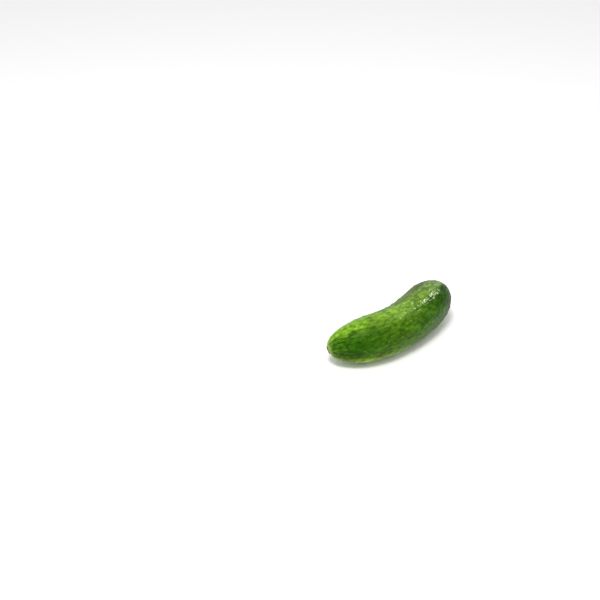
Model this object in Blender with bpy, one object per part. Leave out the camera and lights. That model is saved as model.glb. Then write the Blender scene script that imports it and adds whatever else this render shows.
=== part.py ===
"""A small smooth-skinned cucumber as picked, bent to one side and lying on a flat surface.

The fruit runs along +X from its blossom end to its stem end and bulges towards -Y. Its underside rests on
Z = 0. Each point of its skin is found from two numbers: how far along the lengthwise profile it lies, and
its angle round the centre line. Angle 0 faces the hollow side of the bend, and 90 degrees faces up.
"""

import math
import random

import bmesh
import bpy
import numpy as np
from mathutils import Matrix

MM = 0.001

# The bent centre line
LENGTH = 135 * MM  # along the bend, from tip to tip
BEND = math.radians(52)  # turn from the blossom end to the stem end, spread over the length
EARLY_BEND = 1.4  # 0 is an even bend, and above it the blossom half bends more than the stem half
KINK = math.radians(5.2)  # more turn, which is all near one place
KINK_AT, KINK_REACH = 0.57, 0.09  # as shares of the length
BLOSSOM_DIP = 3.2 * MM  # the blossom tip hangs this much below the middle of the body
STEM_LIFT = 2.0 * MM  # and the stem end stands this much above it
END_REACH = 45 * MM  # length over which either end leaves the level

# The lengthwise profile
BODY_RADIUS = 18.85 * MM
SHOULDER_RADIUS = 19.0 * MM  # the stem half is a little stouter
SWELL_FROM, SWELL_TO = 0.45 * LENGTH, 0.75 * LENGTH  # where the body grows to that radius
WAIST = 0.3 * MM
WAIST_AT, WAIST_REACH = 0.5 * LENGTH, 0.09 * LENGTH
BLOSSOM_TAPER = 45 * MM  # length of the tapered blossom end
BLOSSOM_POWER = 2.3  # above 2 makes the end blunter than an ellipse
STEM_ROUND = 31 * MM
STEM_POWER = 2.3
FLAT_DEPTH = 0.5 * MM  # the underside is pressed flat by this much where it rests

# Ribs and the three-sided section
RIBS = 8
RIB_HEIGHT = 0.38 * MM
RIB_CREST = math.radians(128)  # one crest runs high along the hollow side of the bend
RIB_POINT = 0.3  # 0 gives round crests, and more gives narrow ones
RIB_MIDDLE = 0.35  # share of the rib height that is left at mid length
RIB_STEM = 0.4  # share of it at the stem end
RIB_BLOSSOM_FADE = 30 * MM
RIB_STEM_FADE = 24 * MM
RIB_DRIFT = math.radians(6.3)  # the ribs are unevenly spaced by up to this much
RIB_DRIFT_START = math.radians(74)  # sets which ribs are closer together
RIB_SWAY = math.radians(2.9)  # and sway by this much along the fruit
RIB_SWAY_LENGTH = 21 * MM
LOBES = 3  # a cucumber grows from three joined carpels
LOBE_HEIGHT = 0.35 * MM
BARE_TIP = 4 * MM  # ribs and warts fade in from here
FULL_TIP = 10 * MM  # to here
BARE_STEM = 6.4 * MM
FULL_STEM = 26 * MM

# Fine folds that run out from the blossom scar and die out at different distances
CREASES = 16
CREASE_DEPTH = 0.3 * MM
CREASE_START = 4 * MM
CREASE_FULL = 6.4 * MM
CREASE_REACH = 17 * MM
CREASE_SPREAD = 8 * MM  # how much their reach varies round the fruit
CREASE_SPREAD_WAVES = 5
CREASE_FADE = 0.4  # share of the reach at which a fold begins to die out

# Low round warts, scattered along the rib crests
WARTS_ON_A_RIB = 9
WARTS_FROM, WARTS_TO = 0.17 * LENGTH, 0.88 * LENGTH
WART_RADIUS = 2.5 * MM
WART_HEIGHT = 0.4 * MM
SMALLEST_WART = 0.65  # size of the smallest, as a share of the largest
WART_STRAY = 0.25  # how far a wart strays lengthwise, as a share of their spacing
WART_STRAY_TURN = math.radians(17)  # and round the fruit
WART_SEED = 11

# The corky scar that the flower left
SCAR_RADIUS = 3.2 * MM
SCAR_WAVES, SCAR_WAVE = 5, 0.35 * MM  # its rim isn't quite round
SCAR_RIM, SCAR_RIM_WIDTH = 0.4 * MM, 0.7 * MM
SCAR_PIT, SCAR_PIT_RADIUS = 0.7 * MM, 1.7 * MM
SCAR_PIT_FLOOR = 0.5 * MM
SCAR_DROP = 3.2 * MM  # its middle is this far from the very tip,
SCAR_TURN = math.radians(-115)  # in this direction, which is down and a little outwards
SCAR_PULL = 18 * MM  # the folds start from the scar, and run lengthwise from here on

# The dimple at the stem end and the folds that run out from it over the shoulder
DIMPLE_FLOOR = 3.9 * MM
DIMPLE_RADIUS = 6.4 * MM
DIMPLE_DEPTH = 1.2 * MM
COLLAR_FOLDS = 10
COLLAR_DEPTH = 0.2 * MM
COLLAR_REACH = 15 * MM

# The cut stub of the stalk, which stands in the dimple
STUB_GAP = 0.3 * MM
STUB_LENGTH = 5.6 * MM
STUB_BASE_RADIUS = 3.3 * MM
STUB_NECK_RADIUS = 2.8 * MM
STUB_CUT_RADIUS = 3.1 * MM
STUB_ANGLES = 5  # the stalk is five-angled
STUB_ANGLE_HEIGHT = 0.22 * MM
STUB_EDGE = 0.5 * MM  # rounding of the cut edge and of the root
STUB_CUT_DISH = 0.5 * MM  # the cut face has dried hollow
STUB_FACE_SHARE = 0.2  # share of the stub's rings that lies on its root face, and on its cut face
STUB_EDGE_SHARE = 0.6  # share of either face that is left plain before its rounded edge
STUB_NECK_FROM, STUB_NECK_TO = 0.45, 0.5  # the neck is narrowest between these shares of its length

# How fine the facets are
FRUIT_SEGMENTS = 64
TIP_STEP = 0.55 * MM  # ring spacing at the two ends
BODY_STEP = 1.95 * MM
STEP_GROWTH = 0.1
STUB_SEGMENTS = 30
STUB_RINGS = 16
TABLE_STEPS = 2000

# Linear colour and roughness
SKIN_FINISH = (0.095, 0.25, 0.022), 0.38
STEM_FINISH = (0.23, 0.3, 0.09), 0.6


def smooth(start, end, x):
    """0 before start, 1 after end, and an even S between them."""
    t = np.clip((x - start) / (end - start), 0, 1)
    return t * t * (3 - 2 * t)


def body_radius(s):
    """Radius of the body before its ends are rounded, at a distance s from the blossom tip."""
    swell = (SHOULDER_RADIUS - BODY_RADIUS) * smooth(SWELL_FROM, SWELL_TO, s)
    return BODY_RADIUS + swell - WAIST * np.exp(-(((s - WAIST_AT) / WAIST_REACH) ** 2))


def profile_radius(s):
    """Radius with both ends rounded off."""
    blossom = 1 - np.clip(1 - s / BLOSSOM_TAPER, 0, 1) ** BLOSSOM_POWER
    stem = 1 - np.clip(1 - (LENGTH - s) / STEM_ROUND, 0, 1) ** STEM_POWER
    return body_radius(s) * np.sqrt(np.maximum(blossom, 0) * np.maximum(stem, 0))


# The profile as a table: arc is the distance walked along the skin from the blossom tip
STATION = LENGTH * (0.5 - 0.5 * np.cos(np.linspace(0, math.pi, TABLE_STEPS + 1)))
RADIUS = profile_radius(STATION)
ARC = np.concatenate([[0], np.cumsum(np.hypot(np.diff(STATION), np.diff(RADIUS)))])
ARC_LENGTH = ARC[-1]


def centre_line_table():
    """Distance, heading, x and y along the centre line, turned so that the two tips lie along X."""
    t = np.linspace(0, 1, TABLE_STEPS + 1)
    heading = BEND * (t + EARLY_BEND * (t - t * t)) + KINK / 2 * np.tanh((t - KINK_AT) / KINK_REACH)
    walk = np.cumsum(np.exp(1j * heading)) * LENGTH / TABLE_STEPS
    walk -= walk[0]
    chord = np.angle(walk[-1])
    walk *= np.exp(-1j * chord)
    return t * LENGTH, heading - chord, walk.real, walk.imag


LINE_S, LINE_HEADING, LINE_X, LINE_Y = centre_line_table()


def centre_height(s):
    """Height of the centre line, so that the body rests and the ends leave the level."""
    near_blossom = np.clip(1 - s / END_REACH, 0, 1) ** 2
    near_stem = np.clip(1 - (LENGTH - s) / END_REACH, 0, 1) ** 2
    return body_radius(s) - FLAT_DEPTH - BLOSSOM_DIP * near_blossom + STEM_LIFT * near_stem


def centre_line(s):
    """Centre points and their forward, side and up directions. Past a tip the line runs straight on."""
    inside = np.clip(s, 0, LENGTH)
    heading = np.interp(inside, LINE_S, LINE_HEADING)
    rise = (centre_height(inside + MM) - centre_height(inside - MM)) / (2 * MM)
    level = np.zeros_like(heading)
    forward = np.stack([np.cos(heading), np.sin(heading), rise], -1)
    forward /= np.linalg.norm(forward, axis=-1, keepdims=True)
    side = np.stack([-np.sin(heading), np.cos(heading), level], -1)
    up = np.cross(forward, side)
    x = np.interp(inside, LINE_S, LINE_X)
    y = np.interp(inside, LINE_S, LINE_Y)
    points = np.stack([x, y, centre_height(inside)], -1) + (s - inside)[..., None] * forward
    return points, forward, side, up


def about_scar(arc, angle):
    """A place on the skin as a distance and an angle round the scar, where it was given round the tip."""
    pull = SCAR_DROP * (1 - smooth(0, SCAR_PULL, arc))
    across = arc * np.cos(angle) - pull * math.cos(SCAR_TURN)
    above = arc * np.sin(angle) - pull * math.sin(SCAR_TURN)
    return np.hypot(across, above), np.arctan2(above, across)


def wandering(angle, s):
    """The angle with a slow drift, so that the ribs are unevenly spaced and not quite straight."""
    drift = RIB_DRIFT * np.sin(2 * angle + RIB_DRIFT_START)
    return angle + drift + RIB_SWAY * np.sin(s / RIB_SWAY_LENGTH + angle)


def ribs(s, angle):
    """Broad ribs, clearest at the two ends, over a slightly three-sided section."""
    turn = wandering(angle, s) - wandering(RIB_CREST, 0)
    near_ends = np.exp(-s / RIB_BLOSSOM_FADE) + RIB_STEM * np.exp(-(LENGTH - s) / RIB_STEM_FADE)
    strength = RIB_MIDDLE + (1 - RIB_MIDDLE) * near_ends
    wave = (1 - RIB_POINT) * np.cos(RIBS * turn) + RIB_POINT * np.cos(2 * RIBS * turn)
    return RIB_HEIGHT * strength * wave + LOBE_HEIGHT * np.cos(LOBES * (angle - RIB_CREST))


def creases(from_scar, angle):
    """The folds round the blossom scar."""
    reach = CREASE_REACH + CREASE_SPREAD * np.sin(CREASE_SPREAD_WAVES * angle)
    rise = smooth(CREASE_START, CREASE_FULL, from_scar)
    fade = 1 - smooth(CREASE_FADE * reach, reach, from_scar)
    return -CREASE_DEPTH * rise * fade * (0.5 + 0.5 * np.cos(CREASES * angle)) ** 2


def wart_places():
    """(distance along the centre line, angle, size) of each wart."""
    draw = random.Random(WART_SEED)
    step = (WARTS_TO - WARTS_FROM) / (WARTS_ON_A_RIB - 1)
    places = []
    for rib in range(RIBS):
        crest = RIB_CREST + rib * 2 * math.pi / RIBS
        first = WARTS_FROM + draw.uniform(-0.5, 0.5) * step
        for k in range(WARTS_ON_A_RIB):
            s = first + (k + draw.uniform(-WART_STRAY, WART_STRAY)) * step
            angle = crest + draw.uniform(-WART_STRAY_TURN, WART_STRAY_TURN)
            places.append((s, angle, draw.uniform(SMALLEST_WART, 1)))
    return places


WARTS = wart_places()


def warts(s, angle):
    height = np.zeros_like(s)
    for place, turn, size in WARTS:
        round_gap = (angle - turn + math.pi) % (2 * math.pi) - math.pi
        gap = np.hypot(s - place, BODY_RADIUS * round_gap) / (WART_RADIUS * size)
        height = np.maximum(height, WART_HEIGHT * size * np.clip(1 - gap * gap, 0, 1) ** 2)
    return height


def blossom_scar(from_scar, angle):
    """A raised, uneven rim with a pit in its middle."""
    rim_at = SCAR_RADIUS + SCAR_WAVE * np.sin(SCAR_WAVES * angle) * smooth(0, SCAR_RADIUS, from_scar)
    rim = SCAR_RIM * np.exp(-(((from_scar - rim_at) / SCAR_RIM_WIDTH) ** 2))
    return rim - SCAR_PIT * (1 - smooth(SCAR_PIT_FLOOR, SCAR_PIT_RADIUS, from_scar))


def stem_dimple(arc, angle):
    """The dimple round the stub, with its short folds."""
    gap = ARC_LENGTH - arc
    wall = smooth(DIMPLE_FLOOR, DIMPLE_RADIUS, gap)
    folds = wall * (1 - smooth(DIMPLE_RADIUS, COLLAR_REACH, gap)) * np.cos(COLLAR_FOLDS * angle)
    return COLLAR_DEPTH * folds - DIMPLE_DEPTH * (1 - wall)


def relief(arc, s, angle):
    """Height of the skin above the plain profile."""
    from_scar, turn = about_scar(arc, angle)
    body = smooth(BARE_TIP, FULL_TIP, from_scar) * smooth(BARE_STEM, FULL_STEM, ARC_LENGTH - arc)
    grown = body * (ribs(s, angle) + warts(s, angle))
    return grown + creases(from_scar, turn) + blossom_scar(from_scar, turn) + stem_dimple(arc, angle)


def skin(arc, angle):
    """Points of the fruit's skin, pressed flat where they would pass through the surface it lies on."""
    s = np.interp(arc, ARC, STATION)
    radius = np.interp(arc, ARC, RADIUS)
    step = ARC_LENGTH / TABLE_STEPS
    along = np.interp(arc + step, ARC, STATION) - np.interp(arc - step, ARC, STATION)
    outward = np.interp(arc + step, ARC, RADIUS) - np.interp(arc - step, ARC, RADIUS)
    walked = np.hypot(along, outward)
    height = relief(arc, s, angle)
    s = s - height * outward / walked
    radius = radius + height * along / walked
    points, _, side, up = centre_line(s)
    ring = np.cos(angle)[..., None] * side + np.sin(angle)[..., None] * up
    points = points + radius[..., None] * ring
    points[..., 2] = np.maximum(points[..., 2], 0)
    return points


def ring_places():
    """Distances along the profile at which the rings stand: close together at both ends."""
    places = [0.0]
    while places[-1] < ARC_LENGTH:
        from_end = min(places[-1], ARC_LENGTH - places[-1])
        places.append(places[-1] + min(BODY_STEP, TIP_STEP + STEP_GROWTH * from_end))
    return np.array(places) * ARC_LENGTH / places[-1]


def shaped_ball(name, rings, segments, place):
    """A UV sphere whose points place() moves, from their ring number and their angle round the poles."""
    bm = bmesh.new()
    bmesh.ops.create_uvsphere(bm, u_segments=segments, v_segments=rings, radius=1)
    co = np.array([v.co for v in bm.verts])
    ring = np.rint(np.arccos(np.clip(-co[:, 2], -1, 1)) / math.pi * rings).astype(int)
    angle = np.arctan2(co[:, 1], co[:, 0])
    for vert, point in zip(bm.verts, place(ring, angle)):
        vert.co = point
    mesh = bpy.data.meshes.new(name)
    bm.to_mesh(mesh)
    bm.free()
    mesh.shade_smooth()
    return bpy.data.objects.new(name, mesh)


def material(name, colour, roughness):
    made = bpy.data.materials.new(name)
    made.use_nodes = True
    shader = made.node_tree.nodes["Principled BSDF"]
    shader.inputs["Base Color"].default_value = (*colour, 1)
    shader.inputs["Roughness"].default_value = roughness
    shader.inputs["Metallic"].default_value = 0
    return made


def make_fruit():
    places = ring_places()

    def place(ring, angle):
        return skin(places[ring], angle)

    fruit = shaped_ball("fruit", len(places) - 1, FRUIT_SEGMENTS, place)
    fruit.data.materials.append(material("skin", *SKIN_FINISH))
    return fruit


def stub_profile(share):
    """Height above the root, and radius, at a share of the walk from the root's middle to the cut's."""
    climb = np.clip((share - STUB_FACE_SHARE) / (1 - 2 * STUB_FACE_SHARE), 0, 1)
    neck = STUB_BASE_RADIUS + (STUB_NECK_RADIUS - STUB_BASE_RADIUS) * smooth(0, STUB_NECK_FROM, climb)
    side = neck + (STUB_CUT_RADIUS - STUB_NECK_RADIUS) * smooth(STUB_NECK_TO, 1, climb)
    on_root = np.clip(share / STUB_FACE_SHARE, 0, 1)
    on_cut = np.clip((1 - share) / STUB_FACE_SHARE, 0, 1)
    rounding = smooth(STUB_EDGE_SHARE, 1, on_root) + 1 - smooth(STUB_EDGE_SHARE, 1, on_cut)
    dish = STUB_CUT_DISH * (1 - on_cut**2)
    height = STUB_EDGE * rounding + (STUB_LENGTH - 2 * STUB_EDGE) * climb - dish
    return height, side * np.minimum(on_root, on_cut)


def make_stem_stub():
    root, forward, side, up = (v[0] for v in centre_line(np.array([LENGTH - DIMPLE_DEPTH + STUB_GAP])))

    def place(ring, angle):
        height, radius = stub_profile(ring / STUB_RINGS)
        radius = radius * (1 + STUB_ANGLE_HEIGHT / STUB_CUT_RADIUS * np.cos(STUB_ANGLES * angle))
        outward = np.cos(angle)[:, None] * side + np.sin(angle)[:, None] * up
        return root + height[:, None] * forward + radius[:, None] * outward

    stub = shaped_ball("stem_stub", STUB_RINGS, STUB_SEGMENTS, place)
    stub.data.materials.append(material("stem", *STEM_FINISH))
    return stub


def centre_on_origin(objects):
    """Moves all pieces alike, so that the origin is at the middle of the underside of their common box."""
    corners = np.array([v.co for obj in objects for v in obj.data.vertices])
    low, high = corners.min(0), corners.max(0)
    shift = Matrix.Translation((-(low[0] + high[0]) / 2, -(low[1] + high[1]) / 2, -low[2]))
    for obj in objects:
        obj.data.transform(shift)


def main():
    for obj in list(bpy.data.objects):
        bpy.data.objects.remove(obj)
    pieces = [make_fruit(), make_stem_stub()]
    centre_on_origin(pieces)
    collection = bpy.data.collections.new("cucumber")
    bpy.context.scene.collection.children.link(collection)
    for obj in pieces:
        collection.objects.link(obj)


main()
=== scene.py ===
import math
import random

import bmesh
import bpy
import numpy as np
from mathutils import Matrix, Vector, noise


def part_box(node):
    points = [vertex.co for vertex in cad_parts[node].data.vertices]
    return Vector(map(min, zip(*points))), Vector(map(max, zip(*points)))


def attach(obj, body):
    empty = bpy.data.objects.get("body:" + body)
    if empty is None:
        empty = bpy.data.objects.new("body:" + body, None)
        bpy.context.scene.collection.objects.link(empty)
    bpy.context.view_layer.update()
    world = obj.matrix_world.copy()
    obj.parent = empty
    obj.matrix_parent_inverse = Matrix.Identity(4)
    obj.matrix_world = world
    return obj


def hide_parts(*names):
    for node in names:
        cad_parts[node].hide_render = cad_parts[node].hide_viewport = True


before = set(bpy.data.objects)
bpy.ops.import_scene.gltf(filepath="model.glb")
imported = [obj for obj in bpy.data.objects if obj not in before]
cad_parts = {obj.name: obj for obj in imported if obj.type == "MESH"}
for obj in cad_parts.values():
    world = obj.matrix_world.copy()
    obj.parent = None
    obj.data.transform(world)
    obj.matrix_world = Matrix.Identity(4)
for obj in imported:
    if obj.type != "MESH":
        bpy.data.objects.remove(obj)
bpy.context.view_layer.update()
MM = 0.001

# The bent centre line, as in the solids
LENGTH = 135 * MM
BEND = math.radians(52)
EARLY_BEND = 1.4
KINK, KINK_AT, KINK_REACH = math.radians(5.2), 0.57, 0.09
BLOSSOM_DIP = 3.2 * MM
STEM_LIFT = 2.0 * MM
END_REACH = 45 * MM

# The lengthwise profile, as in the solids
BODY_RADIUS = 18.85 * MM
SHOULDER_RADIUS = 19.0 * MM
SWELL_FROM, SWELL_TO = 0.45 * LENGTH, 0.75 * LENGTH
WAIST = 0.3 * MM
WAIST_AT, WAIST_REACH = 0.5 * LENGTH, 0.09 * LENGTH
BLOSSOM_TAPER, BLOSSOM_POWER = 45 * MM, 2.3
STEM_ROUND, STEM_POWER = 31 * MM, 2.3
FLAT_DEPTH = 0.5 * MM

# Ribs, lobes, creases, warts, scar and dimple, as in the solids
RIBS = 8
RIB_HEIGHT = 0.38 * MM
RIB_CREST = math.radians(128)
RIB_POINT = 0.3
RIB_MIDDLE, RIB_STEM = 0.35, 0.4
RIB_BLOSSOM_FADE, RIB_STEM_FADE = 30 * MM, 24 * MM
RIB_DRIFT, RIB_DRIFT_START = math.radians(6.3), math.radians(74)
RIB_SWAY, RIB_SWAY_LENGTH = math.radians(2.9), 21 * MM
LOBES, LOBE_HEIGHT = 3, 0.35 * MM
BARE_TIP, FULL_TIP = 4 * MM, 10 * MM
BARE_STEM, FULL_STEM = 6.4 * MM, 26 * MM
CREASES, CREASE_DEPTH = 16, 0.3 * MM
CREASE_START, CREASE_FULL = 4 * MM, 6.4 * MM
CREASE_REACH, CREASE_SPREAD = 17 * MM, 8 * MM
CREASE_SPREAD_WAVES, CREASE_FADE = 5, 0.4
WARTS_ON_A_RIB = 9
WARTS_FROM, WARTS_TO = 0.17 * LENGTH, 0.88 * LENGTH
WART_RADIUS, WART_HEIGHT = 2.5 * MM, 0.4 * MM
SMALLEST_WART, WART_STRAY = 0.65, 0.25
WART_STRAY_TURN = math.radians(17)
WART_SEED = 11
SCAR_RADIUS = 3.2 * MM
SCAR_WAVES, SCAR_WAVE = 5, 0.35 * MM
SCAR_RIM, SCAR_RIM_WIDTH = 0.4 * MM, 0.7 * MM
SCAR_PIT, SCAR_PIT_RADIUS, SCAR_PIT_FLOOR = 0.7 * MM, 1.7 * MM, 0.5 * MM
SCAR_DROP, SCAR_TURN, SCAR_PULL = 3.2 * MM, math.radians(-115), 18 * MM
DIMPLE_FLOOR, DIMPLE_RADIUS, DIMPLE_DEPTH = 3.9 * MM, 6.4 * MM, 1.2 * MM
COLLAR_FOLDS, COLLAR_DEPTH, COLLAR_REACH = 10, 0.2 * MM, 15 * MM
STUB_GAP = 0.3 * MM
STUB_LENGTH = 5.6 * MM
STUB_BASE_RADIUS, STUB_NECK_RADIUS, STUB_CUT_RADIUS = 3.3 * MM, 2.8 * MM, 3.1 * MM
STUB_ANGLES, STUB_ANGLE_HEIGHT = 5, 0.22 * MM
STUB_EDGE, STUB_CUT_DISH = 0.5 * MM, 0.5 * MM
STUB_FACE_SHARE, STUB_EDGE_SHARE = 0.2, 0.6
STUB_NECK_FROM, STUB_NECK_TO = 0.45, 0.5
TABLE_STEPS = 2000

# Fine relief, which only this script has
WRINKLE_HEIGHT = 0.13 * MM  # short worm-like wrinkles along the fruit
WRINKLE_SIZE = 3.0 * MM, 1.2 * MM  # along the fruit and across it
SMALL_WRINKLES = 0.6  # height share of a second set, of half the size
WRINKLE_BLOSSOM = 0.45  # share of their height that is left in the blossom half
WRINKLES_GROW, WRINKLES_FULL = 0.35 * LENGTH, 0.7 * LENGTH
STREAK_HEIGHT, STREAK_SIZE = 0.05 * MM, (16 * MM, 1.3 * MM)
GRAIN_HEIGHT, GRAIN_SIZE = 0.022 * MM, 0.8 * MM
DENT_HEIGHT, DENT_SIZE = 0.16 * MM, 9 * MM
PIT_DEPTH, PIT_RADIUS, PIT_SPACING = 0.05 * MM, 0.55 * MM, 3.0 * MM
SPINE_BASE_HEIGHT, SPINE_BASE_RADIUS = 0.1 * MM, 0.4 * MM  # a tiny point in the middle of each wart
FINE_FOLDS, FINE_FOLD_DEPTH, FINE_FOLD_FADE = 44, 0.1 * MM, 11 * MM
FINE_FOLD_SWAY, FINE_FOLD_SWAY_SIZE = 2, 12 * MM
FAN_OPENING = 2 * MM  # the straightened skin reaches its full width this far from each end
CORK_HEIGHT, CORK_SIZE = 0.22 * MM, 0.75 * MM
STALK_RIDGES, STALK_RIDGE_HEIGHT = 25, 0.05 * MM
STALK_BUNDLES, STALK_BUNDLE_HEIGHT = 10, 0.14 * MM
BUNDLE_RING, BUNDLE_RING_WIDTH = 0.4, 0.13  # shares of the way from the cut's edge to its middle
RIDGES_END, CUT_STARTS = 0.1, 0.15  # shares of the same way
CUT_ROUGHNESS, CUT_GRAIN = 0.1 * MM, 0.6 * MM

# How fine the meshes are
FRUIT_RINGS, FRUIT_SEGMENTS = 384, 256
TIP_STEP, STEP_GROWTH = 0.35, 0.045  # ring spacing at the ends as a share of the widest, and its growth
STUB_RINGS, STUB_SEGMENTS = 120, 120

# The camera, in the frame of the row
CAMERA_AZIMUTH, CAMERA_ELEVATION = math.radians(-38.25), math.radians(32)
CAMERA_DISTANCE = 0.80
CAMERA_TARGET = Vector((-0.0240, 0.0994, 0))
CAMERA_LENS, CAMERA_SENSOR, CAMERA_CLIP = 53.83, 36, 0.01
RIGHT = Vector((math.cos(CAMERA_AZIMUTH), math.sin(CAMERA_AZIMUTH), 0))
AWAY = Vector((-math.sin(CAMERA_AZIMUTH), math.cos(CAMERA_AZIMUTH), 0))
UP = Vector((0, 0, 1))

# Linear colours. The first two lists run from the blossom end to the stem
# The upper side: partly the skin's own lime, partly painted light from above; its greyer green near the stem
# is partly a painted sheen
UPPER_SKIN_AND_PAINTED_LIGHT = [
    (0.0, (0.17, 0.33, 0.030)),
    (0.10, (0.185, 0.385, 0.018)),
    (0.30, (0.150, 0.300, 0.018)),
    (0.50, (0.175, 0.320, 0.038)),
    (0.66, (0.125, 0.235, 0.028)),
    (0.84, (0.130, 0.210, 0.060)),
    (1.0, (0.085, 0.155, 0.030)),
]
# The flank: partly the skin's own green, partly painted shade, darkest towards the stem
FLANK_SKIN_AND_PAINTED_SHADE = [
    (0.0, (0.16, 0.26, 0.02)),
    (0.04, (0.060, 0.165, 0.0040)),
    (0.09, (0.022, 0.092, 0.0004)),
    (0.20, (0.0145, 0.070, 0.0002)),
    (0.34, (0.040, 0.112, 0.0030)),
    (0.44, (0.044, 0.120, 0.0020)),
    (0.55, (0.036, 0.112, 0.0015)),
    (0.70, (0.024, 0.092, 0.0008)),
    (0.82, (0.012, 0.050, 0.0010)),
    (1.0, (0.014, 0.050, 0.0020)),
]
BELLY = 0.108, 0.185, 0.012
# The first is partly the skin's pale ground spot, partly painted light bounced up from the floor; the second
# is a painted highlight
PALE_BELLY_AND_PAINTED_BOUNCE, HOLLOW_RIM_PAINTED_HIGHLIGHT = (0.20, 0.32, 0.06), (0.29, 0.50, 0.085)
PALE_LINE, DARK_LINE = (0.20, 0.34, 0.05), (0.010, 0.058, 0.001)
SPECK, DARK_SPECK = (0.22, 0.34, 0.10), (0.010, 0.045, 0.003)
WAX = 0.13, 0.205, 0.05
SPINE_BASE = 0.42, 0.52, 0.22
CORK = [(0.3, (0.020, 0.012, 0.004)), (0.5, (0.065, 0.042, 0.014)), (0.72, (0.22, 0.16, 0.07))]
CORK_PIT, CORK_RIM = (0.012, 0.007, 0.004), (0.29, 0.37, 0.085)
STALK = [(0.3, (0.085, 0.15, 0.030)), (0.5, (0.18, 0.27, 0.07)), (0.7, (0.32, 0.38, 0.14))]
STALK_DRY = 0.36, 0.29, 0.13
CUT = [(0.3, (0.20, 0.15, 0.065)), (0.5, (0.42, 0.35, 0.17)), (0.7, (0.60, 0.53, 0.32))]
CUT_DARK = 0.075, 0.048, 0.022

# Where the skin's colours lie. Sides are degrees round the fruit, sizes and distances from the scar or the
# stem are mm. A band is given by the values where it starts and ends, and by what it goes from and to.
# The upper colours, partly painted light, face the first angle; painted shade falls on the hollow side, and a
# painted highlight runs near its rim
LIME_AND_LIT_SIDE, BELLY_SIDE, HOLLOW_SIDE, HOLLOW_RIM_HIGHLIGHT_SIDE = 52, 250, 20, 30
TONGUE_SIZE, TONGUES_GROW, TONGUE_REACH, TONGUE_SHARE = (45, 3.5, 3.5), (0, 24, 0.2, 1.0), 40, 0.3
RAGGED_SIZE, RAGGED_SHARE = (9, 3.5, 3.5), 0.35
RIB_REACH = -3.0
# Where the upper side, partly painted light, gives way to the flank, partly painted shade
LIME_BORDER, LIME_BORDER_STEM = (0, 45, 0.38, 0.64), (60, 105, 0.0, -0.17)
BORDER_WAVE, BORDER_WAVE_START = 0.393, -0.8
BORDER_WAVE_HEIGHT, BORDER_WAVE_ENDS = -0.14, (32, 22)
BORDER_DROP, BORDER_DROP_ENDS = -0.13, (22, 14)
SHARP_BORDER, SOFT_BORDER = (-0.09, 0.08), (-0.7, 0.42)
SOFT_GROWS, SOFT_ENDS = (20, 38), (100, 68)
BELLY_RAGGED, BELLY_EDGE, BELLY_FULL, BELLY_SHARE = 0.6, (35, 80, 0.3, 0.55), 0.95, 0.9
# Painted shade: the hollow side made darker from 40 to 65 mm past the scar on
HOLLOW_EDGE, HOLLOW_GROWS, HOLLOW_PAINTED_SHADE = (0.35, 0.8), (40, 65), (0.0, 1.0, 1.0, 0.55)
PALE_RAGGED = 0.15
# Partly the pale ground spot, partly painted bounce light from the floor, near the blossom end
PALE_BELLY_AND_BOUNCE_EDGE, PALE_BELLY_AND_BOUNCE_ENDS = (0.64, 0.90), (90, 40)
# A painted highlight along the hollow side near the blossom end
HOLLOW_RIM_HIGHLIGHT_EDGE, HOLLOW_RIM_HIGHLIGHT_ENDS = (0.66, 0.88), (36, 18)

# Lines, clouds, dots and bloom on the skin, and painted shade in the creases
LINE_SIZE, LINES_GROW, CREASE_PAINTED_SHADE = (26, 1.3, 1.3), (36, 5), (0.1, 0.9, 1.0, 0.65)
PALE_LINE_EDGE, PALE_LINE_SHARE = (0.56, 0.72), 0.35
DARK_LINE_EDGE, DARK_LINE_SHARE = (0.47, 0.35), 0.75
CLOUD_SIZE, CLOUD_SHADE = (13, 9, 9), (0.3, 0.7, 0.78, 1.22)
BLOTCH_SIZE, BLOTCH_SHADE = (4.2, 2.6, 2.6), (0.25, 0.75, 0.62, 1.40)
FLECK_SIZE, FLECK_SHADE = (2.2, 1.2, 1.2), (0.25, 0.75, 0.82, 1.18)
WART_SHADE = 0.0, 0.8, 1.0, 1.15
SPECK_SPACING, SPECK_EDGE, SPECK_CHANCE = 2.6, (0.30, 0.12), (0.70, 0.85, 0.0, 0.22)
DARK_SPECK_SPACING, DARK_SPECK_EDGE, DARK_SPECK_CHANCE = 3.6, (0.24, 0.08), (0.5, 0.56, 0.0, 0.4)
DARK_SPECK_STRETCH = 1, 1.01, 0.99  # keeps these dots off the pale ones
SPINE_BASE_EDGE, SPINE_BASE_SHARE = (0.7, 0.3), 0.2
WAX_SIZE, WAX_PATCHES, WAX_GROWS = (11, 7, 7), (0.45, 0.72, 0.0, 0.12), (118, 20, 0.3, 1.0)

# The scar, the ring round the stalk, and how rough and bumpy the skin is
SCAR_EDGE_SIZE, SCAR_EDGE_SHIFT = (2, 5, 5), -1.6
CORK_RIM_EDGE, CORK_EDGE, CORK_PIT_EDGE = (9.0, 4.2, 0.0, 0.85), (3.9, 3.3), (2.6, 1.2)
STALK_RING_EDGE, STALK_CORK_EDGE = (8.5, 5.0, 0.0, 0.6), (5.2, 3.8, 0.0, 0.9)
CORK_GRAIN, CORK_ROUGHNESS = (0.7, 0.7, 0.7), (4.6, 3.4, 0.0, 0.85)
GLOSS_SIZE, GLOSS_ROUGHNESS = (3, 2, 2), (0.3, 0.7, 0.12, 0.25)
BLOSSOM_ROUGHNESS, EDGE_ROUGHNESS = (75, 35, 0.12, 0.38), (0.45, 0.95, 0.15, 0.5)
SKIN_GRAIN, SKIN_GRAIN_DEPTH = (0.35, 0.35, 0.35), 0.006 * MM
SKIN_BUMPS, SKIN_BUMP_DEPTH = (1.6, 0.8, 0.8), 0.02 * MM
SKIN_SPECULAR, SKIN_TINT = 0.08, (0.9, 1.0, 0.6, 1)
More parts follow.
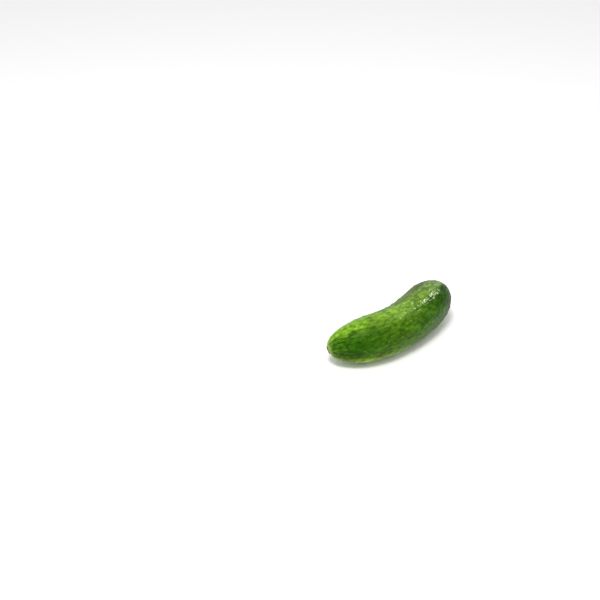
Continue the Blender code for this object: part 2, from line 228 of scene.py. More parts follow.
SKIN_DEPTH, SKIN_DEPTH_SHARE, SKIN_DEPTH_COLOUR = 1.2 * MM, 0.08, (0.6, 1.0, 0.25)

# The stalk stub's surface
FIBRE_SIZE, FIBRE_DEPTH, FIBRE_ROUGHNESS = (0.3, 0.3, 4), 0.12 * MM, (0.3, 0.7, 0.5, 0.75)
DRY_FROM, DRY_FIBRES = (3.6, 6.4), (0.3, 0.55)
CUT_COLOUR_SIZE, CUT_EDGE = (0.45, 0.45, 0.45), (0.02, 0.12)
BUNDLE_SHARE, PITH_EDGE, ROOT_EDGE = 0.8, (0.8, 1.0, 0.0, 0.75), (1.2, 0.2, 0.0, 0.6)
STUB_BUMPS, STUB_BUMP_DEPTH, STUB_SPECULAR = (0.25, 0.25, 0.25), 0.05 * MM, 0.3

# Floor, lamps and surroundings. A lamp is its direction to the right, away and up as the camera sees it,
# its distance, its width and height, its watts and its colour
FLOOR_SIZE, FLOOR_DROP, FLOOR_COLOUR = 60, 0.01 * MM, (0.925, 0.915, 0.92, 1)
FLOOR_ROUGHNESS, FLOOR_SPECULAR = 0.9, 0.1
LAMP_TARGET = Vector((0, 0, 0.02))
KEY_LAMP = (0.53, 0.53, 0.66), 1.4, (0.06, 0.34), 8, (0.97, 1, 0.88)
TOP_LAMP = (-0.17, -0.36, 1), 1.3, (0.35, 0.35), 10, (1, 1, 1)
SURROUNDINGS, MIRRORED_SURROUNDINGS = 0.86, 0.6


def smooth(start, end, x):
    """0 before start, 1 after end, and an even S between them."""
    t = np.clip((x - start) / (end - start), 0, 1)
    return t * t * (3 - 2 * t)


def body_radius(s):
    swell = (SHOULDER_RADIUS - BODY_RADIUS) * smooth(SWELL_FROM, SWELL_TO, s)
    return BODY_RADIUS + swell - WAIST * np.exp(-(((s - WAIST_AT) / WAIST_REACH) ** 2))


def profile_radius(s):
    blossom = 1 - np.clip(1 - s / BLOSSOM_TAPER, 0, 1) ** BLOSSOM_POWER
    stem = 1 - np.clip(1 - (LENGTH - s) / STEM_ROUND, 0, 1) ** STEM_POWER
    return body_radius(s) * np.sqrt(np.maximum(blossom, 0) * np.maximum(stem, 0))


# The profile as a table: arc is the distance walked along the skin from the blossom tip
STATION = LENGTH * (0.5 - 0.5 * np.cos(np.linspace(0, math.pi, TABLE_STEPS + 1)))
RADIUS = profile_radius(STATION)
ARC = np.concatenate([[0], np.cumsum(np.hypot(np.diff(STATION), np.diff(RADIUS)))])
ARC_LENGTH = ARC[-1]


def centre_line_table():
    """Distance, heading, x and y along the centre line, turned so that the two tips lie along X."""
    t = np.linspace(0, 1, TABLE_STEPS + 1)
    heading = BEND * (t + EARLY_BEND * (t - t * t)) + KINK / 2 * np.tanh((t - KINK_AT) / KINK_REACH)
    walk = np.cumsum(np.exp(1j * heading)) * LENGTH / TABLE_STEPS
    walk -= walk[0]
    chord = np.angle(walk[-1])
    walk *= np.exp(-1j * chord)
    return t * LENGTH, heading - chord, walk.real, walk.imag


LINE_S, LINE_HEADING, LINE_X, LINE_Y = centre_line_table()


def centre_height(s):
    near_blossom = np.clip(1 - s / END_REACH, 0, 1) ** 2
    near_stem = np.clip(1 - (LENGTH - s) / END_REACH, 0, 1) ** 2
    return body_radius(s) - FLAT_DEPTH - BLOSSOM_DIP * near_blossom + STEM_LIFT * near_stem


def centre_line(s):
    """Centre points and their forward, side and up directions. Past a tip the line runs straight on."""
    inside = np.clip(s, 0, LENGTH)
    heading = np.interp(inside, LINE_S, LINE_HEADING)
    rise = (centre_height(inside + MM) - centre_height(inside - MM)) / (2 * MM)
    forward = np.stack([np.cos(heading), np.sin(heading), rise], -1)
    forward /= np.linalg.norm(forward, axis=-1, keepdims=True)
    side = np.stack([-np.sin(heading), np.cos(heading), np.zeros_like(heading)], -1)
    up = np.cross(forward, side)
    x = np.interp(inside, LINE_S, LINE_X)
    y = np.interp(inside, LINE_S, LINE_Y)
    points = np.stack([x, y, centre_height(inside)], -1) + (s - inside)[..., None] * forward
    return points, forward, side, up


def about_scar(arc, angle):
    """A place on the skin as a distance and an angle round the scar, where it was given round the tip."""
    pull = SCAR_DROP * (1 - smooth(0, SCAR_PULL, arc))
    across = arc * np.cos(angle) - pull * math.cos(SCAR_TURN)
    above = arc * np.sin(angle) - pull * math.sin(SCAR_TURN)
    return np.hypot(across, above), np.arctan2(above, across)


def wandering(angle, s):
    drift = RIB_DRIFT * np.sin(2 * angle + RIB_DRIFT_START)
    return angle + drift + RIB_SWAY * np.sin(s / RIB_SWAY_LENGTH + angle)


def rib_wave(s, angle):
    """1 on a rib's crest and -1 or so between two ribs."""
    turn = wandering(angle, s) - wandering(RIB_CREST, 0)
    return (1 - RIB_POINT) * np.cos(RIBS * turn) + RIB_POINT * np.cos(2 * RIBS * turn)


def ribs(s, angle):
    near_ends = np.exp(-s / RIB_BLOSSOM_FADE) + RIB_STEM * np.exp(-(LENGTH - s) / RIB_STEM_FADE)
    strength = RIB_MIDDLE + (1 - RIB_MIDDLE) * near_ends
    return RIB_HEIGHT * strength * rib_wave(s, angle) + LOBE_HEIGHT * np.cos(LOBES * (angle - RIB_CREST))


def crease_share(from_scar, turn):
    """0 on smooth skin and 1 at the bottom of a full crease."""
    reach = CREASE_REACH + CREASE_SPREAD * np.sin(CREASE_SPREAD_WAVES * turn)
    rise = smooth(CREASE_START, CREASE_FULL, from_scar)
    fade = 1 - smooth(CREASE_FADE * reach, reach, from_scar)
    return rise * fade * (0.5 + 0.5 * np.cos(CREASES * turn)) ** 2


def wart_places():
    """(distance along the centre line, angle, size) of each wart."""
    draw = random.Random(WART_SEED)
    step = (WARTS_TO - WARTS_FROM) / (WARTS_ON_A_RIB - 1)
    places = []
    for rib in range(RIBS):
        crest = RIB_CREST + rib * 2 * math.pi / RIBS
        first = WARTS_FROM + draw.uniform(-0.5, 0.5) * step
        for k in range(WARTS_ON_A_RIB):
            s = first + (k + draw.uniform(-WART_STRAY, WART_STRAY)) * step
            angle = crest + draw.uniform(-WART_STRAY_TURN, WART_STRAY_TURN)
            places.append((s, angle, draw.uniform(SMALLEST_WART, 1)))
    return places


def wart_share(s, angle):
    """0 on smooth skin and 1 on top of the largest wart, and the distance to the middle of the nearest."""
    height = np.zeros_like(s)
    nearest = np.full_like(s, LENGTH)
    for place, turn, size in wart_places():
        round_gap = (angle - turn + math.pi) % (2 * math.pi) - math.pi
        gap = np.hypot(s - place, BODY_RADIUS * round_gap)
        nearest = np.minimum(nearest, gap)
        height = np.maximum(height, size * np.clip(1 - (gap / (WART_RADIUS * size)) ** 2, 0, 1) ** 2)
    return height, nearest


def blossom_scar(from_scar, turn):
    rim_at = SCAR_RADIUS + SCAR_WAVE * np.sin(SCAR_WAVES * turn) * smooth(0, SCAR_RADIUS, from_scar)
    rim = SCAR_RIM * np.exp(-(((from_scar - rim_at) / SCAR_RIM_WIDTH) ** 2))
    return rim - SCAR_PIT * (1 - smooth(SCAR_PIT_FLOOR, SCAR_PIT_RADIUS, from_scar))


def stem_dimple(to_stem, angle):
    wall = smooth(DIMPLE_FLOOR, DIMPLE_RADIUS, to_stem)
    folds = wall * (1 - smooth(DIMPLE_RADIUS, COLLAR_REACH, to_stem)) * np.cos(COLLAR_FOLDS * angle)
    return COLLAR_DEPTH * folds - DIMPLE_DEPTH * (1 - wall)


def perlin(points):
    """Smooth noise of about -1 to 1, one bump to a unit."""
    return np.array([noise.noise(p) for p in points.tolist()])


def pit_share(points):
    """1 in the middle of a pit and 0 between pits, which lie about one unit apart."""
    nearest = np.array([noise.voronoi(p)[0][0] for p in points.tolist()])
    radius = PIT_RADIUS / PIT_SPACING
    return np.clip(1 - (nearest / radius) ** 2, 0, 1) ** 2


def fan_of(from_scar, turn, to_stem):
    """Places in a straightened skin of even thickness, where a pattern keeps its angle up to both ends."""
    spread = BODY_RADIUS * smooth(0, FAN_OPENING, np.minimum(from_scar, to_stem))
    return np.stack([from_scar, spread * np.cos(turn), spread * np.sin(turn)], -1)


def body_of(s, radius, angle):
    """Places in the straightened fruit, where a pattern keeps its scale."""
    return np.stack([s, radius * np.cos(angle), radius * np.sin(angle)], -1)


def fine_relief(from_scar, turn, to_stem, s, fan, body, wart_gap):
    """Wrinkles, streaks, grain, soft dents, pits, spine bases and the finest folds."""
    along, across = WRINKLE_SIZE
    in_wrinkles = fan / (along, across, across)
    wrinkles = perlin(in_wrinkles) + SMALL_WRINKLES * perlin(2 * in_wrinkles)
    wrinkles *= WRINKLE_BLOSSOM + (1 - WRINKLE_BLOSSOM) * smooth(WRINKLES_GROW, WRINKLES_FULL, s)
    along, across = STREAK_SIZE
    streaks = perlin(fan / (along, across, across))
    height = WRINKLE_HEIGHT * wrinkles + STREAK_HEIGHT * streaks
    height += GRAIN_HEIGHT * perlin(body / GRAIN_SIZE) + DENT_HEIGHT * perlin(body / DENT_SIZE)
    height -= PIT_DEPTH * pit_share(body / PIT_SPACING)
    height += SPINE_BASE_HEIGHT * np.exp(-((wart_gap / SPINE_BASE_RADIUS) ** 2))
    folds = np.cos(FINE_FOLDS * turn + FINE_FOLD_SWAY * perlin(fan / FINE_FOLD_SWAY_SIZE))
    folds *= np.exp(-from_scar / FINE_FOLD_FADE)
    height -= FINE_FOLD_DEPTH * folds * smooth(CREASE_START, CREASE_FULL, from_scar)
    cork = smooth(SCAR_RADIUS + MM, SCAR_RADIUS, from_scar) + smooth(DIMPLE_RADIUS, DIMPLE_FLOOR, to_stem)
    smooth_skin = smooth(0.5 * SCAR_RADIUS, FULL_TIP, from_scar)
    return height * smooth_skin + CORK_HEIGHT * cork * perlin(body / CORK_SIZE)


def skin(arc, angle):
    """Points of the fruit's skin, and what its material reads there."""
    s = np.interp(arc, ARC, STATION)
    radius = np.interp(arc, ARC, RADIUS)
    step = ARC_LENGTH / TABLE_STEPS
    along = np.interp(arc + step, ARC, STATION) - np.interp(arc - step, ARC, STATION)
    outward = np.interp(arc + step, ARC, RADIUS) - np.interp(arc - step, ARC, RADIUS)
    walked = np.hypot(along, outward)
    from_scar, turn = about_scar(arc, angle)
    to_stem = ARC_LENGTH - arc
    fan, body = fan_of(from_scar, turn, to_stem), body_of(s, radius, angle)
    wart, wart_gap = wart_share(s, angle)
    crease = crease_share(from_scar, turn)
    on_body = smooth(BARE_TIP, FULL_TIP, from_scar) * smooth(BARE_STEM, FULL_STEM, to_stem)
    height = on_body * (ribs(s, angle) + WART_HEIGHT * wart) - CREASE_DEPTH * crease
    height += blossom_scar(from_scar, turn) + stem_dimple(to_stem, angle)
    height += fine_relief(from_scar, turn, to_stem, s, fan, body, wart_gap)
    reads = {
        "from_scar": from_scar / MM,
        "to_stem": to_stem / MM,
        "fan": fan / MM,
        "body": body / MM,
        "round": np.stack([np.cos(angle), np.sin(angle), np.zeros_like(angle)], -1),
        "rib": rib_wave(s, angle) * on_body,
        "wart": wart * on_body,
        "wart_gap": wart_gap / MM,
        "crease": crease,
    }
    s = s - height * outward / walked
    radius = radius + height * along / walked
    points, _, side, up = centre_line(s)
    points = points + radius[:, None] * (np.cos(angle)[:, None] * side + np.sin(angle)[:, None] * up)
    points[:, 2] = np.maximum(points[:, 2], 0)
    return points, reads


def ring_places():
    """Where the rings stand along the profile: closer together near both ends."""
    share = np.linspace(0, 1, TABLE_STEPS + 1)
    from_end = np.minimum(share, 1 - share) * FRUIT_RINGS
    spacing = np.minimum(1, TIP_STEP + STEP_GROWTH * from_end)
    places = np.concatenate([[0], np.cumsum((spacing[1:] + spacing[:-1]) / 2)])
    return np.interp(np.linspace(0, 1, FRUIT_RINGS + 1), share, places / places[-1]) * ARC_LENGTH


def shaped_ball(name, rings, segments, place):
    """A UV sphere whose points place() moves. place() also gives what the material reads at each point."""
    bm = bmesh.new()
    bmesh.ops.create_uvsphere(bm, u_segments=segments, v_segments=rings, radius=1)
    mesh = bpy.data.meshes.new(name)
    bm.to_mesh(mesh)
    bm.free()
    co = np.empty(len(mesh.vertices) * 3, np.float32)
    mesh.vertices.foreach_get("co", co)
    co = co.reshape(-1, 3).astype(float)
    ring = np.rint(np.arccos(np.clip(-co[:, 2], -1, 1)) / math.pi * rings).astype(int)
    points, reads = place(ring, np.arctan2(co[:, 1], co[:, 0]))
    mesh.vertices.foreach_set("co", points.astype(np.float32).ravel())
    for key, values in reads.items():
        kind, field = ("FLOAT", "value") if values.ndim == 1 else ("FLOAT_VECTOR", "vector")
        mesh.attributes.new(key, kind, "POINT").data.foreach_set(field, values.astype(np.float32).ravel())
    mesh.shade_smooth()
    mesh.update()
    made = bpy.data.objects.new(name, mesh)
    bpy.context.scene.collection.objects.link(made)
    return made


def put_in_box(made, node):
    """Moves a mesh so that the middle of its box is over the middle of the node's box."""
    low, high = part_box(node)
    co = np.array([v.co for v in made.data.vertices])
    shift = (np.array(low) + np.array(high)) / 2 - (co.min(0) + co.max(0)) / 2
    made.data.transform(Matrix.Translation((shift[0], shift[1], 0)))


class Surface:
    """A Principled material, with short names for the nodes that feed it."""

    def __init__(self, name):
        self.material = bpy.data.materials.new(name)
        self.material.use_nodes = True
        self.tree = self.material.node_tree
        self.shader = self.tree.nodes["Principled BSDF"]

    def node(self, kind, inputs, **settings):
        made = self.tree.nodes.new(kind)
        for key, value in settings.items():
            setattr(made, key, value)
        for key, value in inputs.items():
            self.feed(value, made.inputs[key])
        return made

    def feed(self, value, socket):
        if isinstance(value, bpy.types.NodeSocket):
            self.tree.links.new(value, socket)
        else:
            socket.default_value = value

    def set(self, **values):
        for key, value in values.items():
            self.feed(value, self.shader.inputs[key.replace("_", " ")])

    def read(self, name, output="Fac"):
        return self.node("ShaderNodeAttribute", {}, attribute_name=name).outputs[output]

    def facing(self, degrees):
        """1 on the side at this angle round the fruit, 0 a quarter turn from it and -1 opposite."""
        turn = math.radians(degrees)
        inputs = {0: self.read("round", "Vector"), 1: (math.cos(turn), math.sin(turn), 0)}
        return self.node("ShaderNodeVectorMath", inputs, operation="DOT_PRODUCT").outputs["Value"]

    def edge_on(self):
        """0 where the surface is seen square on and 1 where it is seen edge on."""
        return self.node("ShaderNodeLayerWeight", {"Blend": 0.5}).outputs["Facing"]

    def math(self, operation, first, second=0.0):
        return self.node("ShaderNodeMath", {0: first, 1: second}, operation=operation).outputs[0]

    def times(self, *values):
        product = values[0]
        for value in values[1:]:
            product = self.math("MULTIPLY", product, value)
        return product

    def plus(self, first, second, share=1.0):
        inputs = {0: second, 1: share, 2: first}
        return self.node("ShaderNodeMath", inputs, operation="MULTIPLY_ADD").outputs[0]

    def stretch(self, vector, sizes):
        scale = tuple(1 / size for size in sizes)
        return self.node("ShaderNodeVectorMath", {0: vector, 1: scale}, operation="MULTIPLY").outputs[0]

    def noise(self, vector, sizes, detail=2.0, roughness=0.5):
        """Noise of 0 to 1, with bumps of the given sizes."""
        stretched = self.stretch(vector, sizes)
        inputs = {"Vector": stretched, "Scale": 1.0, "Detail": detail, "Roughness": roughness}
        return self.node("ShaderNodeTexNoise", inputs).outputs["Fac"]

    def cells(self, vector, size):
        """Distance to the nearest of many scattered points, in units of size, and a random number for it."""
        inputs = {"Vector": self.stretch(vector, (size, size, size)), "Scale": 1.0}
        made = self.node("ShaderNodeTexVoronoi", inputs)
        chance = self.node("ShaderNodeSeparateColor", {"Color": made.outputs["Color"]}).outputs["Red"]
        return made.outputs["Distance"], chance

    def band(self, value, start, end, low=0.0, high=1.0):
        """Goes smoothly from low to high as the value goes from start to end. start may be the larger."""
        inputs = {"Value": value, "From Min": start, "From Max": end, "To Min": low, "To Max": high}
        return self.node("ShaderNodeMapRange", inputs, interpolation_type="SMOOTHSTEP").outputs[0]

    def ramp(self, value, stops):
        made = self.node("ShaderNodeValToRGB", {"Fac": value})
        ramp = made.color_ramp
        while len(ramp.elements) < len(stops):
            ramp.elements.new(1)
        for element, (place, colour) in zip(ramp.elements, stops):
            element.position = place
            element.color = (*colour, 1)
        return made.outputs["Color"]

    def mix(self, factor, first, second, blend="MIX"):
        first, second = ((*c, 1) if isinstance(c, tuple) else c for c in (first, second))
        inputs = {0: factor, 6: first, 7: second}
        return self.node("ShaderNodeMix", inputs, data_type="RGBA", blend_type=blend).outputs[2]

    def shade(self, colour, amount):
        """The colour made lighter or darker by a number."""
        grey = self.node("ShaderNodeCombineColor", {0: amount, 1: amount, 2: amount}).outputs[0]
        return self.mix(1.0, colour, grey, "MULTIPLY")

    def bump(self, height, distance, below=None):
        inputs = {"Height": height, "Strength": 1.0, "Distance": distance}
        if below is not None:
            inputs["Normal"] = below
        return self.node("ShaderNodeBump", inputs).outputs[0]


def ground_colour(m, fan):
    """From lime at the blossom end to deep green at the stem, in tongues that follow the ribs. The upper side
    is partly painted light and the flanks partly painted shade, on top of the skin's own colours; the hollow
    side gets painted shade and, near the blossom, a painted highlight; the pale belly is partly painted
    bounce light.
    """
    from_scar = m.read("from_scar")
    tongues = m.math("SUBTRACT", m.noise(fan, TONGUE_SIZE, 3), 0.5)
    ragged = m.math("SUBTRACT", m.noise(fan, RAGGED_SIZE, 3, 0.6), 0.5)
    along = m.plus(from_scar, m.times(tongues, m.band(from_scar, *TONGUES_GROW)), TONGUE_REACH)
    along = m.plus(along, m.read("rib"), RIB_REACH)
    along = m.math("DIVIDE", along, ARC_LENGTH / MM)
    border = m.math("ADD", m.band(from_scar, *LIME_BORDER), m.band(from_scar, *LIME_BORDER_STEM))
    wave = m.math("SINE", m.plus(BORDER_WAVE_START, from_scar, BORDER_WAVE))
    border = m.plus(border, m.times(wave, m.band(from_scar, *BORDER_WAVE_ENDS)), BORDER_WAVE_HEIGHT)
    border = m.plus(border, m.band(from_scar, *BORDER_DROP_ENDS), BORDER_DROP)
    # The upper side, partly painted light, against the flank, partly painted shade
    side = m.plus(m.plus(m.facing(LIME_AND_LIT_SIDE), tongues, TONGUE_SHARE), ragged, RAGGED_SHARE)
    side = m.math("SUBTRACT", side, border)
    sharp, soft = m.band(side, *SHARP_BORDER), m.band(side, *SOFT_BORDER)
    blurred = m.times(m.band(from_scar, *SOFT_GROWS), m.band(from_scar, *SOFT_ENDS))
    upper = m.plus(sharp, m.math("SUBTRACT", soft, sharp), blurred)
    colour = m.mix(upper, m.ramp(along, FLANK_SKIN_AND_PAINTED_SHADE), m.ramp(along, UPPER_SKIN_AND_PAINTED_LIGHT))
    # Painted shade on the hollow side
    hollow = m.times(m.band(m.facing(HOLLOW_SIDE), *HOLLOW_EDGE), m.band(from_scar, *HOLLOW_GROWS))
    colour = m.shade(colour, m.band(hollow, *HOLLOW_PAINTED_SHADE))
    belly = m.plus(m.facing(BELLY_SIDE), ragged, BELLY_RAGGED)
    belly = m.band(belly, m.band(from_scar, *BELLY_EDGE), BELLY_FULL, 0.0, BELLY_SHARE)
    colour = m.mix(belly, colour, BELLY)
    # The pale belly: partly the skin's ground spot, partly painted bounce light from the floor
    pale = m.band(m.plus(m.facing(BELLY_SIDE), ragged, PALE_RAGGED), *PALE_BELLY_AND_BOUNCE_EDGE)
    colour = m.mix(m.times(pale, m.band(from_scar, *PALE_BELLY_AND_BOUNCE_ENDS)), colour, PALE_BELLY_AND_PAINTED_BOUNCE)
    # A painted highlight along the hollow side near the blossom end
    pale = m.band(m.plus(m.facing(HOLLOW_RIM_HIGHLIGHT_SIDE), ragged, PALE_RAGGED), *HOLLOW_RIM_HIGHLIGHT_EDGE)
    return m.mix(m.times(pale, m.band(from_scar, *HOLLOW_RIM_HIGHLIGHT_ENDS)), colour, HOLLOW_RIM_PAINTED_HIGHLIGHT)


def with_blossom_lines(m, colour, fan):
    """Fine pale and dark lines that fan out from the scar, and painted shade that darkens the creases."""
    lines = m.noise(fan, LINE_SIZE, 2, 0.6)
    near_scar = m.band(m.read("from_scar"), *LINES_GROW)
    colour = m.mix(m.times(m.band(lines, *PALE_LINE_EDGE), near_scar, PALE_LINE_SHARE), colour, PALE_LINE)
    colour = m.mix(m.times(m.band(lines, *DARK_LINE_EDGE), near_scar, DARK_LINE_SHARE), colour, DARK_LINE)
    # Painted shade: the creases made darker
    return m.shade(colour, m.band(m.read("crease"), *CREASE_PAINTED_SHADE))


def with_mottling(m, colour, fan, body):
    """From soft clouds down to blotches and short flecks."""
    colour = m.shade(colour, m.band(m.noise(body, CLOUD_SIZE, 2, 0.5), *CLOUD_SHADE))
    colour = m.shade(colour, m.band(m.noise(body, BLOTCH_SIZE, 1, 0.5), *BLOTCH_SHADE))
    colour = m.shade(colour, m.band(m.noise(fan, FLECK_SIZE, 2, 0.6), *FLECK_SHADE))
    return m.shade(colour, m.band(m.read("wart"), *WART_SHADE))


def with_specks(m, colour, body):
    """Small pale dots, dark dots, and a pale point where the spine of each wart fell off."""
    near, chance = m.cells(body, SPECK_SPACING)
    colour = m.mix(m.times(m.band(near, *SPECK_EDGE), m.band(chance, *SPECK_CHANCE)), colour, SPECK)
    near, chance = m.cells(m.stretch(body, DARK_SPECK_STRETCH), DARK_SPECK_SPACING)
    dark = m.times(m.band(near, *DARK_SPECK_EDGE), m.band(chance, *DARK_SPECK_CHANCE))
    colour = m.mix(dark, colour, DARK_SPECK)
    base = m.band(m.read("wart_gap"), *SPINE_BASE_EDGE)
    return m.mix(m.times(base, m.read("wart"), SPINE_BASE_SHARE), colour, SPINE_BASE)


def with_wax(m, colour, body):
    """A thin greyish bloom, thicker towards the stem."""
    patches = m.band(m.noise(body, WAX_SIZE, 3, 0.6), *WAX_PATCHES)
    return m.mix(m.times(patches, m.band(m.read("to_stem"), *WAX_GROWS)), colour, WAX)


def with_scar(m, colour, fan, body):
    """The corky scar at the blossom end, the pale cracked ring round the stalk, and how rough the scar is."""
    from_scar, to_stem = m.read("from_scar"), m.read("to_stem")
    edge = m.plus(from_scar, m.noise(fan, SCAR_EDGE_SIZE, 2), SCAR_EDGE_SHIFT)
    cork = m.ramp(m.noise(body, CORK_GRAIN, 4, 0.65), CORK)
    cork = m.mix(m.band(from_scar, *CORK_PIT_EDGE), cork, CORK_PIT)
    colour = m.mix(m.band(edge, *CORK_RIM_EDGE), colour, CORK_RIM)
    colour = m.mix(m.band(edge, *CORK_EDGE), colour, cork)
    colour = m.mix(m.band(to_stem, *STALK_RING_EDGE), colour, STALK[1][1])
    return m.mix(m.band(to_stem, *STALK_CORK_EDGE), colour, cork), m.band(edge, *CORK_ROUGHNESS)


def skin_material():
    m = Surface("cucumber_skin")
    fan, body = m.read("fan", "Vector"), m.read("body", "Vector")
    colour = ground_colour(m, fan)
    colour = with_blossom_lines(m, colour, fan)
    colour = with_mottling(m, colour, fan, body)
    colour = with_specks(m, colour, body)
    colour = with_wax(m, colour, body)
    colour, cork_roughness = with_scar(m, colour, fan, body)
    rough = m.band(m.noise(body, GLOSS_SIZE, 3, 0.6), *GLOSS_ROUGHNESS)
    rough = m.math("MAXIMUM", rough, m.band(m.read("from_scar"), *BLOSSOM_ROUGHNESS))
    rough = m.math("MAXIMUM", rough, cork_roughness)
    rough = m.math("MAXIMUM", rough, m.band(m.edge_on(), *EDGE_ROUGHNESS))
    normal = m.bump(m.noise(body, SKIN_GRAIN, 2, 0.5), SKIN_GRAIN_DEPTH)
    normal = m.bump(m.noise(fan, SKIN_BUMPS, 2, 0.5), SKIN_BUMP_DEPTH, normal)
    m.set(Base_Color=colour, Roughness=rough, Normal=normal)
    m.set(Specular_IOR_Level=SKIN_SPECULAR, Specular_Tint=SKIN_TINT)
    m.set(Subsurface_Weight=SKIN_DEPTH_SHARE, Subsurface_Scale=SKIN_DEPTH)
    m.set(Subsurface_Radius=SKIN_DEPTH_COLOUR)
    return m.material


def make_fruit():
    places = ring_places()

    def place(ring, angle):
        return skin(places[ring], angle)

    fruit = shaped_ball("cucumber_fruit", FRUIT_RINGS, FRUIT_SEGMENTS, place)
    put_in_box(fruit, "fruit")
    fruit.data.materials.append(skin_material())
    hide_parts("fruit")
    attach(fruit, "root")


def stub_profile(share):
    """Height above the root, radius, and how far inward on the cut face, from its edge to its middle."""
    climb = np.clip((share - STUB_FACE_SHARE) / (1 - 2 * STUB_FACE_SHARE), 0, 1)
    neck = STUB_BASE_RADIUS + (STUB_NECK_RADIUS - STUB_BASE_RADIUS) * smooth(0, STUB_NECK_FROM, climb)
    side = neck + (STUB_CUT_RADIUS - STUB_NECK_RADIUS) * smooth(STUB_NECK_TO, 1, climb)
    on_root = np.clip(share / STUB_FACE_SHARE, 0, 1)
    on_cut = np.clip((1 - share) / STUB_FACE_SHARE, 0, 1)
    rounding = smooth(STUB_EDGE_SHARE, 1, on_root) + 1 - smooth(STUB_EDGE_SHARE, 1, on_cut)
    dish = STUB_CUT_DISH * (1 - on_cut**2)
    height = STUB_EDGE * rounding + (STUB_LENGTH - 2 * STUB_EDGE) * climb - dish
    return height, side * np.minimum(on_root, on_cut), 1 - on_cut


def stub_material():
    m = Surface("cucumber_stem")
    body = m.read("body", "Vector")
    height, inward = m.read("height"), m.read("inward")
    fibres = m.noise(body, FIBRE_SIZE, 3, 0.6)
    dry = m.times(m.band(height, *DRY_FROM), m.band(fibres, *DRY_FIBRES))
    sides = m.mix(dry, m.ramp(fibres, STALK), STALK_DRY)
    cut = m.ramp(m.noise(body, CUT_COLOUR_SIZE, 4, 0.65), CUT)
    cut = m.mix(m.times(m.read("bundle"), BUNDLE_SHARE), cut, CUT_DARK)
    cut = m.mix(m.band(inward, *PITH_EDGE), cut, CUT_DARK)
    colour = m.mix(m.band(inward, *CUT_EDGE), sides, cut)
    colour = m.mix(m.band(height, *ROOT_EDGE), colour, CUT_DARK)
    normal = m.bump(fibres, FIBRE_DEPTH)
    normal = m.bump(m.noise(body, STUB_BUMPS, 3, 0.6), STUB_BUMP_DEPTH, normal)
    m.set(Base_Color=colour, Roughness=m.band(fibres, *FIBRE_ROUGHNESS), Normal=normal)
    m.set(Specular_IOR_Level=STUB_SPECULAR)
    return m.material


def make_stem_stub():
    root, forward, side, up = (v[0] for v in centre_line(np.array([LENGTH - DIMPLE_DEPTH + STUB_GAP])))

    def place(ring, angle):
        height, radius, inward = stub_profile(ring / STUB_RINGS)
        on_side = smooth(0, MM, height) * (1 - smooth(0, RIDGES_END, inward))
        in_ring = np.exp(-(((inward - BUNDLE_RING) / BUNDLE_RING_WIDTH) ** 2))
        bundle = np.clip(np.cos(STALK_BUNDLES * angle), 0, 1) ** 2 * in_ring
        body = np.stack([radius * np.cos(angle), radius * np.sin(angle), height], -1)
        wide = 1 + STUB_ANGLE_HEIGHT / STUB_CUT_RADIUS * np.cos(STUB_ANGLES * angle)
        radius = radius * wide + STALK_RIDGE_HEIGHT * np.cos(STALK_RIDGES * angle) * on_side
        on_cut = smooth(0, CUT_STARTS, inward)
        height = height + on_cut * (CUT_ROUGHNESS * perlin(body / CUT_GRAIN) + STALK_BUNDLE_HEIGHT * bundle)
        outward = np.cos(angle)[:, None] * side + np.sin(angle)[:, None] * up
        points = root + height[:, None] * forward + radius[:, None] * outward
        return points, {"height": height / MM, "inward": inward, "bundle": bundle, "body": body / MM}

    stub = shaped_ball("cucumber_stem_stub", STUB_RINGS, STUB_SEGMENTS, place)
    put_in_box(stub, "stem_stub")
    stub.data.materials.append(stub_material())
    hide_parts("stem_stub")
    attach(stub, "root")


def make_floor():
    bpy.ops.mesh.primitive_plane_add(size=FLOOR_SIZE, location=(0, 0, -FLOOR_DROP))
    floor = bpy.context.object
    floor.name = "floor"
    m = Surface("white_floor")
    m.set(Base_Color=FLOOR_COLOUR, Roughness=FLOOR_ROUGHNESS, Specular_IOR_Level=FLOOR_SPECULAR)
    floor.data.materials.append(m.material)


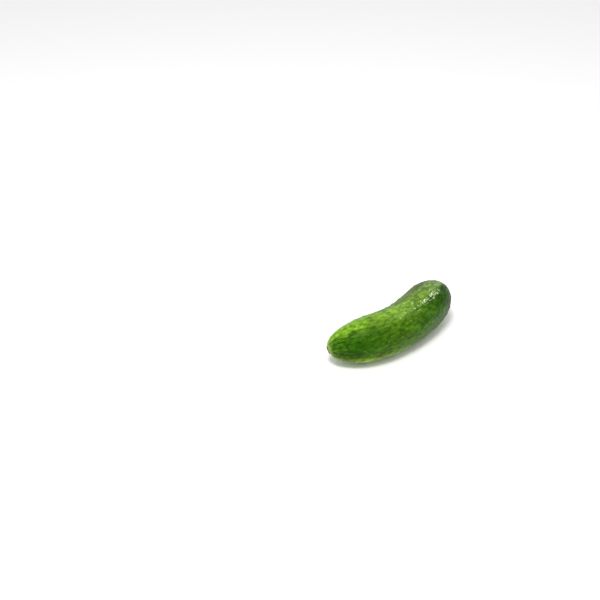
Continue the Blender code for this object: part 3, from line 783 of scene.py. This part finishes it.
def aim(made, place, target):
    made.location = place
    made.rotation_euler = (target - place).to_track_quat("-Z", "Y").to_euler()


def add_light(name, direction, distance, size, watts, colour):
    """A soft light, width by height, in a direction to the right, away and up as the camera sees it."""
    lamp = bpy.data.lights.new(name, "AREA")
    lamp.shape = "RECTANGLE"
    lamp.size, lamp.size_y = size
    lamp.energy, lamp.color = watts, colour
    made = bpy.data.objects.new(name, lamp)
    bpy.context.scene.collection.objects.link(made)
    right, away, up = direction
    aim(made, (RIGHT * right + AWAY * away + UP * up).normalized() * distance, LAMP_TARGET)
    return made


def add_world(strength, mirrored):
    """White surroundings, which are as bright as mirrored where the fruit reflects them."""
    world = bpy.data.worlds.new("studio")
    world.use_nodes = True
    back = world.node_tree.nodes["Background"]
    back.inputs["Color"].default_value = (1, 1, 1, 1)
    ray = world.node_tree.nodes.new("ShaderNodeLightPath")
    by_ray = world.node_tree.nodes.new("ShaderNodeMapRange")
    by_ray.inputs["To Min"].default_value, by_ray.inputs["To Max"].default_value = strength, mirrored
    world.node_tree.links.new(ray.outputs["Is Glossy Ray"], by_ray.inputs["Value"])
    world.node_tree.links.new(by_ray.outputs[0], back.inputs["Strength"])
    bpy.context.scene.world = world


def add_camera():
    data = bpy.data.cameras.new("camera")
    data.lens, data.sensor_width, data.clip_start = CAMERA_LENS, CAMERA_SENSOR, CAMERA_CLIP
    made = bpy.data.objects.new("camera", data)
    bpy.context.scene.collection.objects.link(made)
    level = math.cos(CAMERA_ELEVATION) * CAMERA_DISTANCE
    place = CAMERA_TARGET - AWAY * level + UP * math.sin(CAMERA_ELEVATION) * CAMERA_DISTANCE
    aim(made, place, CAMERA_TARGET)
    bpy.context.scene.camera = made


make_fruit()
make_stem_stub()
make_floor()
key = add_light("key", *KEY_LAMP)
key.visible_diffuse = False  # it makes the glints and casts no shadow
add_light("top", *TOP_LAMP)
add_world(SURROUNDINGS, MIRRORED_SURROUNDINGS)
add_camera()
bpy.context.scene.view_settings.view_transform = "Standard"
